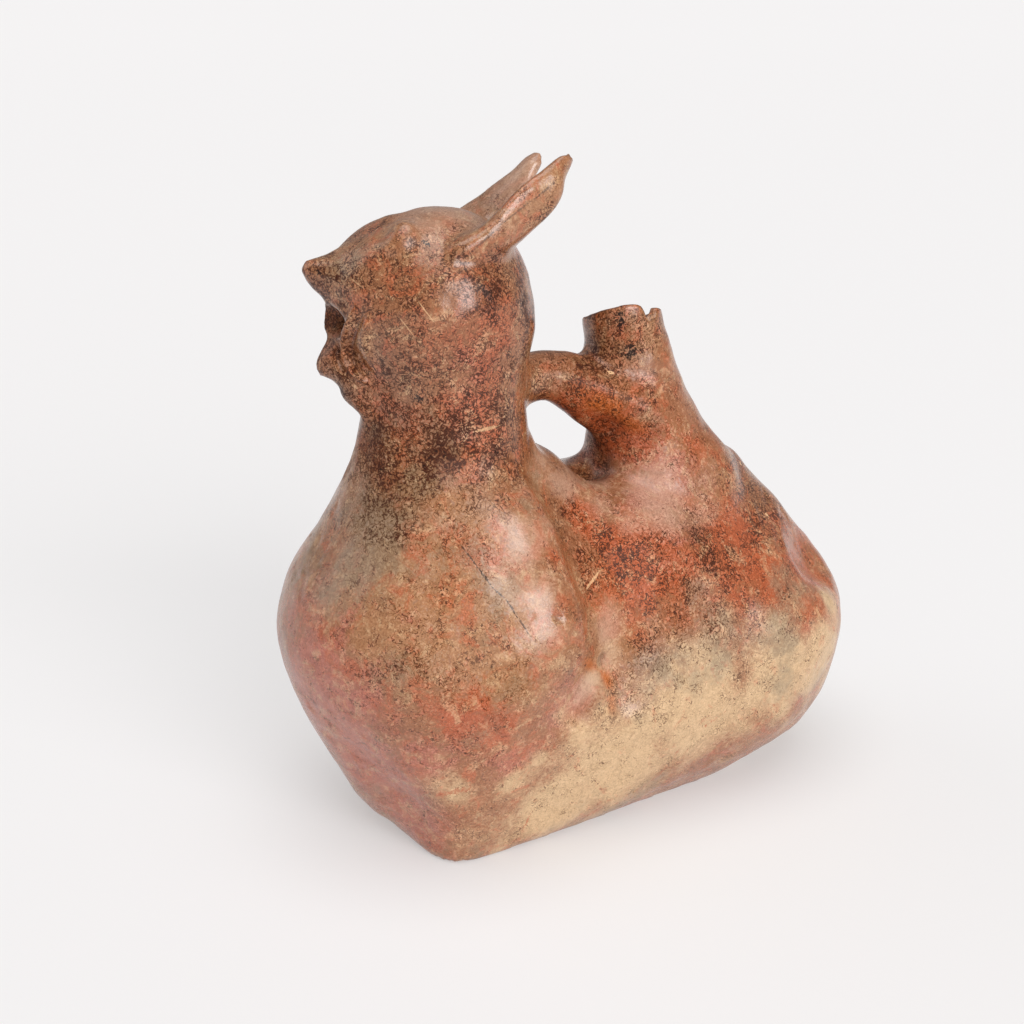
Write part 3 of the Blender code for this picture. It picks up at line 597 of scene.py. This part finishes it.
def share_of(points, areas, seed):
    """How much each point lies in the given areas, with wandering borders, from 0 to 1."""
    total = np.zeros(len(points))
    wander = 1 + 0.25 * swells(points, 0.018, seed)
    for x, y, z, reach, strength in areas:
        distance = np.linalg.norm(points - metres((x, y, z)), axis=1) * wander / metres(reach)
        total = np.maximum(total, strength * np.exp(-distance ** 2 * 0.9))
    return np.clip(total, 0.0, 1.0)


# The heights of the relief, from creases to rims, that "worn" covers from 0 to 1, in metres; where "worn" is low,
# shade is painted
RELIEF_RANGE = 0.0040


def paint_areas(mesh, depth):
    """Writes on each point how much of each slip and soot it has, where the painted sheen lies, and how high it lies
    in the relief, which leads the painted shade in the creases, for the clay's finish to read.
    """
    points = points_of(mesh)
    earths = np.stack([share_of(points, areas, seed) for seed, areas in
                       enumerate((RED_AREAS, ROSE_AREAS, TAN_AREAS, BUFF_AREAS), 31)], 1)
    mesh.attributes.new("earths", "FLOAT_COLOR", "POINT").data.foreach_set("color", earths.ravel())
    for name, values in (("soot", share_of(points, SOOT_AND_SHADE_AREAS, 41)),
                         ("flecks", share_of(points, FLECK_AREAS, 43) - share_of(points, PAINTED_SHEEN_AND_PALE_SLIP_AREAS, 45)),
                         ("bloom", share_of(points, PAINTED_SHEEN_AND_PALE_SLIP_AREAS, 45)),
                         ("haze", share_of(points, HAZE_AREAS, 49)),
                         ("matt", share_of(points, MATT_AREAS, 47)),
                         # "worn" is the height in the relief, low in the creases and pits, where it leads the painted
                         # shade
                         ("worn", np.clip(0.5 + depth / RELIEF_RANGE, 0, 1))):
        mesh.attributes.new(name, "FLOAT", "POINT").data.foreach_set("value", values)


def add(tree, kind, links=(), **settings):
    """One node: its settings by name, its input values by number or name, and its links."""
    node = tree.nodes.new("ShaderNode" + kind)
    values = settings.pop("values", {})
    for name, value in settings.items():
        setattr(node, name, value)
    for key, value in values.items():
        node.inputs[key].default_value = value
    for key, source in dict(links).items():
        tree.links.new(source, node.inputs[key])
    return node


def mark_frame(tree, start, end, width, reach, depth=0.004):
    """Place, turn and half sizes of a long thin mark on the skin between two points."""
    start, end = Vector(start), Vector(end)
    middle, normal = tree.find_nearest((start + end) / 2)[:2]
    along = (end - start).normalized()
    across = normal.cross(along).normalized()
    turn = Matrix((along, across, along.cross(across))).transposed()
    return middle, turn.to_euler(), Vector((reach * (end - start).length, width / 2, depth))


def burnished_clay(colours, skin):
    """Low-fired earthenware under a red slip that was rubbed with a pebble: satin gloss, softly clouded,
    full of hair-fine dark and pale flecks, smoked by the open fire and worn to buff clay low down.
    Each pattern is laid over the ones before where its weighed sum rises between two levels."""
    material = bpy.data.materials.new("burnished red earthenware")
    material.use_nodes = True
    tree = material.node_tree
    shader = tree.nodes["Principled BSDF"]
    place = add(tree, "TexCoord").outputs["Object"]
    earths = add(tree, "Attribute", attribute_name="earths").outputs
    slips = add(tree, "SeparateColor", {"Color": earths["Color"]}).outputs
    soot, flecks, bloom, haze, matt, worn = (
        add(tree, "Attribute", attribute_name=name).outputs["Fac"]
        for name in ("soot", "flecks", "bloom", "haze", "matt", "worn"))

    def clouds(size, detail, rough, twist=0.0, shape=(1.0, 1.0, 1.0), shift=0.0):
        """Noise about 0.5 whose patches are this many metres wide."""
        spot = add(tree, "Mapping", {"Vector": place}, values={"Scale": shape, "Location": (shift,) * 3})
        return add(tree, "TexNoise", {"Vector": spot.outputs[0]},
                   values={"Scale": 1 / size, "Detail": detail, "Roughness": rough, "Distortion": twist}).outputs[0]

    def weighed(*shares):
        """The sum of several (value, weight) pairs."""
        total = None
        for value, weight in shares:
            node = add(tree, "Math", {0: value}, operation="MULTIPLY_ADD", values={1: weight, 2: 0.0})
            if total is not None:
                tree.links.new(total, node.inputs[2])
            total = node.outputs[0]
        return total

    def risen(where, low, high, start=0.0, top=1.0):
        """Goes from start to top where a pattern rises from low to high."""
        return add(tree, "MapRange", {"Value": where}, interpolation_type="SMOOTHSTEP",
                   values={1: low, 2: high, 3: start, 4: top}).outputs[0]

    def laid(under, over, where, low, high, cover=1.0, how="MIX"):
        """One colour laid over another where a pattern rises from low to high."""
        mix = add(tree, "Mix", {0: risen(where, low, high, 0.0, cover), 6: under}, data_type="RGBA",
                  blend_type=how, values={7: tuple(over)})
        return mix.outputs[2]

    # Clouds of slip 26 mm wide, worn patches 7 mm, mottling 2.4 mm, and grain that is finer on the real clay
    # but is drawn 0.7 mm wide, about two pixels, so that it shows
    wide = clouds(0.026, 3.0, 0.55)
    patches = clouds(0.007, 4.0, 0.7, 0.6, shift=0.3)
    mottling = clouds(0.0024, 4.0, 0.7, 0.8, shift=0.7)
    grain = clouds(0.0007, 2.0, 0.7, shift=1.1)

    def hairs(size, shift):
        """Thin crooked lines: 0 on them, rising away from them."""
        middle = add(tree, "Math", {0: clouds(size, 2.0, 0.6, 0.5, shift=shift)}, operation="SUBTRACT",
                     values={1: 0.5})
        return add(tree, "Math", {0: middle.outputs[0]}, operation="ABSOLUTE").outputs[0]

    base = add(tree, "Mix", {0: wide}, data_type="RGBA",
               values={6: tuple(colours.brown), 7: tuple(colours.tan)}).outputs[2]
    fray = weighed((patches, 1.3), (mottling, 1.0))
    for share, colour in ((slips[2], colours.tan), (slips[0], colours.red), (slips[1], colours.rose)):
        base = laid(base, colour, weighed((share, 1.0), (fray, 1.0)), 1.25, 1.85)
    # Bare clay comes out slowly toward the base
    base = laid(base, colours.buff, weighed((earths["Alpha"], 1.35), (fray, 0.8)), 1.00, 2.00)
    # Slip that is redder in small patches, rubbed paler in others, and dulled by smoke in a few
    redder = clouds(0.010, 4.0, 0.7, 1.0, shift=5.2)
    paler = clouds(0.008, 4.0, 0.7, 0.8, shift=6.4)
    base = laid(base, colours.red, weighed((redder, 1.0), (mottling, 0.4), (earths["Alpha"], -0.10)),
                0.68, 0.86, 0.7)
    base = laid(base, colours.buff, weighed((paler, 1.0), (mottling, 0.5)), 0.76, 0.94, 0.40)
    base = laid(base, colours.grey, weighed((wide, 1.0), (grain, 0.3), (paler, -0.4), (haze, 0.30)), 0.52, 0.76, 0.6)
    # Painted sheen and highlights: a pale pink on what faces up, along the shoulder fold and on the knob, and paler
    # slip at the waist
    base = laid(base, colours.bloom, weighed((bloom, 1.0), (mottling, 0.6), (patches, 0.5)), 0.80, 1.55, 0.6)
    # Fire clouds: a brown stain that the flecks thicken over, and painted shade where the soot areas lie on the back
    # of the shoulder and under the handle
    base = laid(base, colours.umber, weighed((soot, 0.8), (patches, 1.1), (mottling, 0.9)), 1.15, 1.85, 0.75)
    surface = BVHTree.FromPolygons([v.co for v in skin.vertices], [p.vertices for p in skin.polygons])

    def blot(width, begin, finish, reach):
        """1 in the middle of a long mark, falling to 0 at its border."""
        spot, turn, size = mark_frame(surface, begin, finish, width, reach)
        inside = add(tree, "Mapping", {"Vector": place}, vector_type="TEXTURE",
                     values={"Location": spot, "Rotation": turn, "Scale": size})
        return add(tree, "TexGradient", {"Vector": inside.outputs[0]}, gradient_type="SPHERICAL").outputs[1]

    # Slip that fired bright in single places fades out at its border
    for width, begin, finish, cover in BRIGHT_SLIP:
        mark = blot(metres(width), metres(begin), metres(finish), 0.7)
        base = laid(base, colours.orange, weighed((mark, 1.0), (mottling, 0.8), (patches, 0.6)), 0.85, 1.60, cover)
    # Darker and lighter with the strokes of the pebble and with the grain
    base = laid(base, (0.60, 0.56, 0.52, 1.0), weighed((mottling, -1.0), (grain, -1.0), (flecks, 0.06)),
                -1.03, -0.80, 0.6, "MULTIPLY")
    base = laid(base, (0.14, 0.10, 0.07, 1.0), weighed((mottling, 1.0), (grain, 1.0)), 1.00, 1.24, 0.6, "ADD")
    # Dark flecks like short hairs, brown round black, and pale strokes between them
    dark = weighed((hairs(0.0016, 2.3), -3.7), (mottling, 0.6), (patches, 0.8), (grain, 0.3), (flecks, 0.215),
                   (soot, 0.22), (earths["Alpha"], -0.05))
    base = laid(base, colours.umber, dark, 0.76, 0.87, 0.74)
    pale = weighed((hairs(0.0018, 4.7), -3.2), (mottling, -0.3), (paler, 0.6), (grain, 0.4), (flecks, 0.05))
    base = laid(base, colours.cream, pale, 0.39, 0.48, 0.50)
    base = laid(base, colours.soot, dark, 0.93, 1.02, 0.92)
    # Painted shade: umber laid in the creases and pits, where "worn" is low
    base = laid(base, colours.umber, weighed((worn, 1.0), (patches, 0.3), (mottling, 0.3)), 0.68, 0.36, 0.6)
    # Scratches, cracks, chips and stains that lie where the real ones do
    for kind, width, begin, finish, cover in MARKS:
        mark = blot(metres(width), metres(begin), metres(finish), 1.0 if kind == "crack" else 0.6)
        # Scratches and bare spots are crisp, cracks and stains break up into flecks
        if kind == "cream":
            base = laid(base, colours.cream, weighed((mark, 1.0), (mottling, 1.0), (grain, 0.6)), 1.05, 1.30, cover)
        elif kind == "crack":
            base = laid(base, colours.soot, weighed((mark, 0.8), (dark, 0.5), (grain, 0.5)), 0.85, 1.15, cover)
        else:
            base = laid(base, getattr(colours, kind), weighed((mark, 0.8), (dark, 1.0)), 0.98, 1.34, cover)
    tree.links.new(base, shader.inputs["Base Color"])

    # Satin gloss where the pebble rubbed, dull in the waist, in the flecks and on bare clay
    rough = weighed((patches, 0.8), (mottling, 0.5), (earths["Alpha"], 0.25), (matt, 0.7))
    tree.links.new(risen(rough, 0.50, 1.45, 0.23, 0.74), shader.inputs["Roughness"])
    sheen = weighed((dark, 0.8), (matt, 0.7), (patches, 0.6))
    tree.links.new(risen(sheen, 0.70, 1.45, 0.70, 0.10), shader.inputs["Specular IOR Level"])
    shader.inputs["IOR"].default_value = 1.5
    shader.inputs["Coat Weight"].default_value = 0.12
    shader.inputs["Coat Roughness"].default_value = 0.28
    shader.inputs["Coat IOR"].default_value = 1.5
    # Pebble strokes and grain stand about 0.05 mm high
    bump = add(tree, "Bump", {"Height": weighed((mottling, 1.0), (grain, 0.5), (dark, -0.25))},
               values={"Strength": 0.5, "Distance": 0.00012})
    tree.links.new(bump.outputs[0], shader.inputs["Normal"])
    return material


# Rounds of smoothing of the whole skin and of the spout's rim, what counts as rough on the flat base, in
# metres, and how many faces the hollow keeps
BODY_ROUNDS, RIM_ROUNDS, BASE_ROUGHNESS, HOLLOW_FACES = 16, 30, 0.0004, 9000


def soften(mesh):
    """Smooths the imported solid's flat faces away, but little on the face and the spout, evens the spout's rim
    all round but for its notch, and sets the base flat."""
    edges, points = read(mesh.edges, "vertices", 2), points_of(mesh)
    head = np.linalg.norm(points - np.array(head_point(0.3, 0.0, 0.1)), axis=1)
    spout = np.linalg.norm(points - np.array(SPOUT_RIM), axis=1)
    amount = (0.2 + 0.8 * soft_step(0.036, 0.060, head)) * (0.6 + 0.4 * soft_step(0.014, 0.028, spout))
    points = smoothed(points, edges, BODY_ROUNDS, amount[:, None])
    rim = soft_step(0.024, 0.016, spout) * soft_step(*NOTCH_REACH, np.linalg.norm(points - RIM_NOTCH, axis=1))
    points = smoothed(points, edges, RIM_ROUNDS, rim[:, None])
    points[:, 2] = np.where(points[:, 2] < BASE_ROUGHNESS, 0.0, points[:, 2])
    move_to(mesh, points)


class VESSEL_OT_clay(bpy.types.Operator):
    """Makes the vessel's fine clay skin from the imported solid, with its relief and its burnished finish"""
    bl_idname = "vessel.clay"
    bl_label = "Make the clay vessel"

    def execute(self, context):
        sizes = context.scene.clay_skin
        skin, places, inside = even_skin(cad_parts["vessel"], sizes.grain)
        hollow = hollow_share(skin.data, places, inside)
        soften(skin.data)
        skin = thin_the_hollow(skin, hollow, HOLLOW_FACES)
        # The face, the spout's rim, the pit and the chip get finer faces, and the cheek's rim finer ones again
        refine(skin.data, [(head_point(0.90, 0.0, 0.0), 0.030), (SPOUT_RIM, 0.020),
                           (Vector(WAIST_PIT), 0.009), (Vector(HANDLE_CHIP), 0.006)])
        refine(skin.data, [(Vector(CHEEK_RIM[3]), 0.013)])
        move_to(skin.data, nudged(evened_rim(points_of(skin.data))))
        outside = 1 - hollow_share(skin.data, places, inside)
        depth = carve(skin.data, outside, sizes)
        paint_areas(skin.data, depth)
        skin.name = "clay_vessel"
        skin.data.name = "clay vessel"
        skin.data.shade_smooth()
        skin.data.materials.clear()
        skin.data.materials.append(burnished_clay(context.scene.clay_colours, skin.data))
        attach(skin, "root")
        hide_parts("vessel")
        return {"FINISHED"}


def sun(name, azimuth, elevation, strength, width):
    """A far soft lamp at an azimuth and an elevation, as wide as an angle, all in degrees."""
    lamp = bpy.data.lights.new(name, "SUN")
    lamp.energy = strength
    lamp.angle = math.radians(width)
    obj = bpy.data.objects.new(name, lamp)
    way = toward(math.radians(azimuth), math.radians(elevation))
    obj.location = 2 * way
    obj.rotation_euler = way.to_track_quat("Z", "Y").to_euler()
    bpy.context.scene.collection.objects.link(obj)


# The photograph's camera: which way it lies, how far off, and what it looks at, in metres
CAMERA_AZIMUTH, CAMERA_ELEVATION = math.radians(60), math.radians(19)
CAMERA_DISTANCE, CAMERA_TARGET = 0.54036, Vector((0.0, -0.02908, 0.12))


def toward(azimuth, elevation):
    """The direction seen at an azimuth from -Y toward +X and an elevation."""
    return Vector((math.sin(azimuth) * math.cos(elevation), -math.cos(azimuth) * math.cos(elevation),
                   math.sin(elevation)))


class VESSEL_OT_studio(bpy.types.Operator):
    """Sets the white paper sweep, the soft lamps and the camera"""
    bl_idname = "vessel.studio"
    bl_label = "Set the studio"

    def execute(self, context):
        studio = context.scene.vessel_studio
        # The paper starts behind the camera and lies flat up to 3 m past the vessel, then rises ever so gently,
        # from 15 m on by 2%, so that it fills the view. It lies a hair below the base, to leave no shared face
        near, begin, full, rise, steps, below = -60.0, 3.0, 15.0, 0.02, 12, 0.0003
        profile = [(near, 0.0)]
        for step in range(steps + 1):
            way = step / steps
            profile.append((begin + (full - begin) * way, rise * (full - begin) * way ** 2 / 2))
        profile.append((studio.sweep_depth, profile[-1][1] + rise * (studio.sweep_depth - full)))
        away = -toward(CAMERA_AZIMUTH, 0)
        aside = Vector((-away.y, away.x, 0)) * studio.sweep_width / 2
        points = [away * out + Vector((0, 0, up - below)) + side * aside
                  for out, up in profile for side in (-1, 1)]
        mesh = bpy.data.meshes.new("paper sweep")
        mesh.from_pydata(points, [], [(i, i + 2, i + 3, i + 1) for i in range(0, len(points) - 2, 2)])
        mesh.shade_smooth()
        sweep = bpy.data.objects.new("paper_sweep", mesh)
        context.scene.collection.objects.link(sweep)
        paper = bpy.data.materials.new("matt white paper")
        paper.use_nodes = True
        sheet = paper.node_tree.nodes["Principled BSDF"].inputs
        sheet["Base Color"].default_value = studio.paper
        sheet["Roughness"].default_value = 0.95
        sheet["Specular IOR Level"].default_value = 0.0
        sheet["Emission Color"].default_value = (1.0, 0.995, 0.995, 1.0)
        sheet["Emission Strength"].default_value = studio.paper_glow
        mesh.materials.append(paper)
        room = bpy.data.worlds.new("room light")
        context.scene.world = room
        room.use_nodes = True
        room.node_tree.nodes["Background"].inputs[0].default_value = (1.0, 1.0, 1.0, 1.0)
        room.node_tree.nodes["Background"].inputs[1].default_value = studio.sky
        sun("right softbox", 93, 17, studio.key, 42)
        sun("left softbox", -40, 28, studio.fill, 50)
        sun("overhead softbox", 60, 78, studio.top, 54)
        camera = bpy.data.objects.new("camera", bpy.data.cameras.new("camera"))
        camera.data.lens = 50
        camera.data.sensor_width = 36
        camera.data.clip_start = 0.01
        back = toward(CAMERA_AZIMUTH, CAMERA_ELEVATION)
        right = Vector((0, 0, 1)).cross(back).normalized()
        turn = Matrix((right, back.cross(right), back)).transposed().to_4x4()
        camera.matrix_world = Matrix.Translation(CAMERA_TARGET + CAMERA_DISTANCE * back) @ turn
        context.scene.collection.objects.link(camera)
        context.scene.camera = camera
        context.scene.view_settings.view_transform = "Standard"
        return {"FINISHED"}


class VESSEL_PT_sidebar(bpy.types.Panel):
    """The vessel's sizes, colours and steps"""
    bl_label = "Whistling vessel"
    bl_idname = "VESSEL_PT_sidebar"
    bl_space_type = "VIEW_3D"
    bl_region_type = "UI"
    bl_category = "Vessel"

    def draw(self, context):
        scene = context.scene
        for title, group in (("Skin", scene.clay_skin), ("Colours", scene.clay_colours),
                             ("Studio", scene.vessel_studio)):
            self.layout.label(text=title)
            for name in type(group).__annotations__:
                self.layout.prop(group, name)
        self.layout.operator(VESSEL_OT_clay.bl_idname)
        self.layout.operator(VESSEL_OT_studio.bl_idname)


CLASSES = (ClaySkin, ClayColours, Studio, VESSEL_OT_clay, VESSEL_OT_studio, VESSEL_PT_sidebar)


def register():
    """Adds the vessel's sizes, steps and panel to Blender."""
    for item in CLASSES:
        bpy.utils.register_class(item)
    bpy.types.Scene.clay_skin = PointerProperty(type=ClaySkin)
    bpy.types.Scene.clay_colours = PointerProperty(type=ClayColours)
    bpy.types.Scene.vessel_studio = PointerProperty(type=Studio)


def unregister():
    """Takes them out again."""
    for name in ("clay_skin", "clay_colours", "vessel_studio"):
        delattr(bpy.types.Scene, name)
    for item in reversed(CLASSES):
        bpy.utils.unregister_class(item)


def main():
    """Makes the vessel and the studio."""
    register()
    bpy.ops.vessel.clay()
    bpy.ops.vessel.studio()


if __name__ == "__main__":
    main()
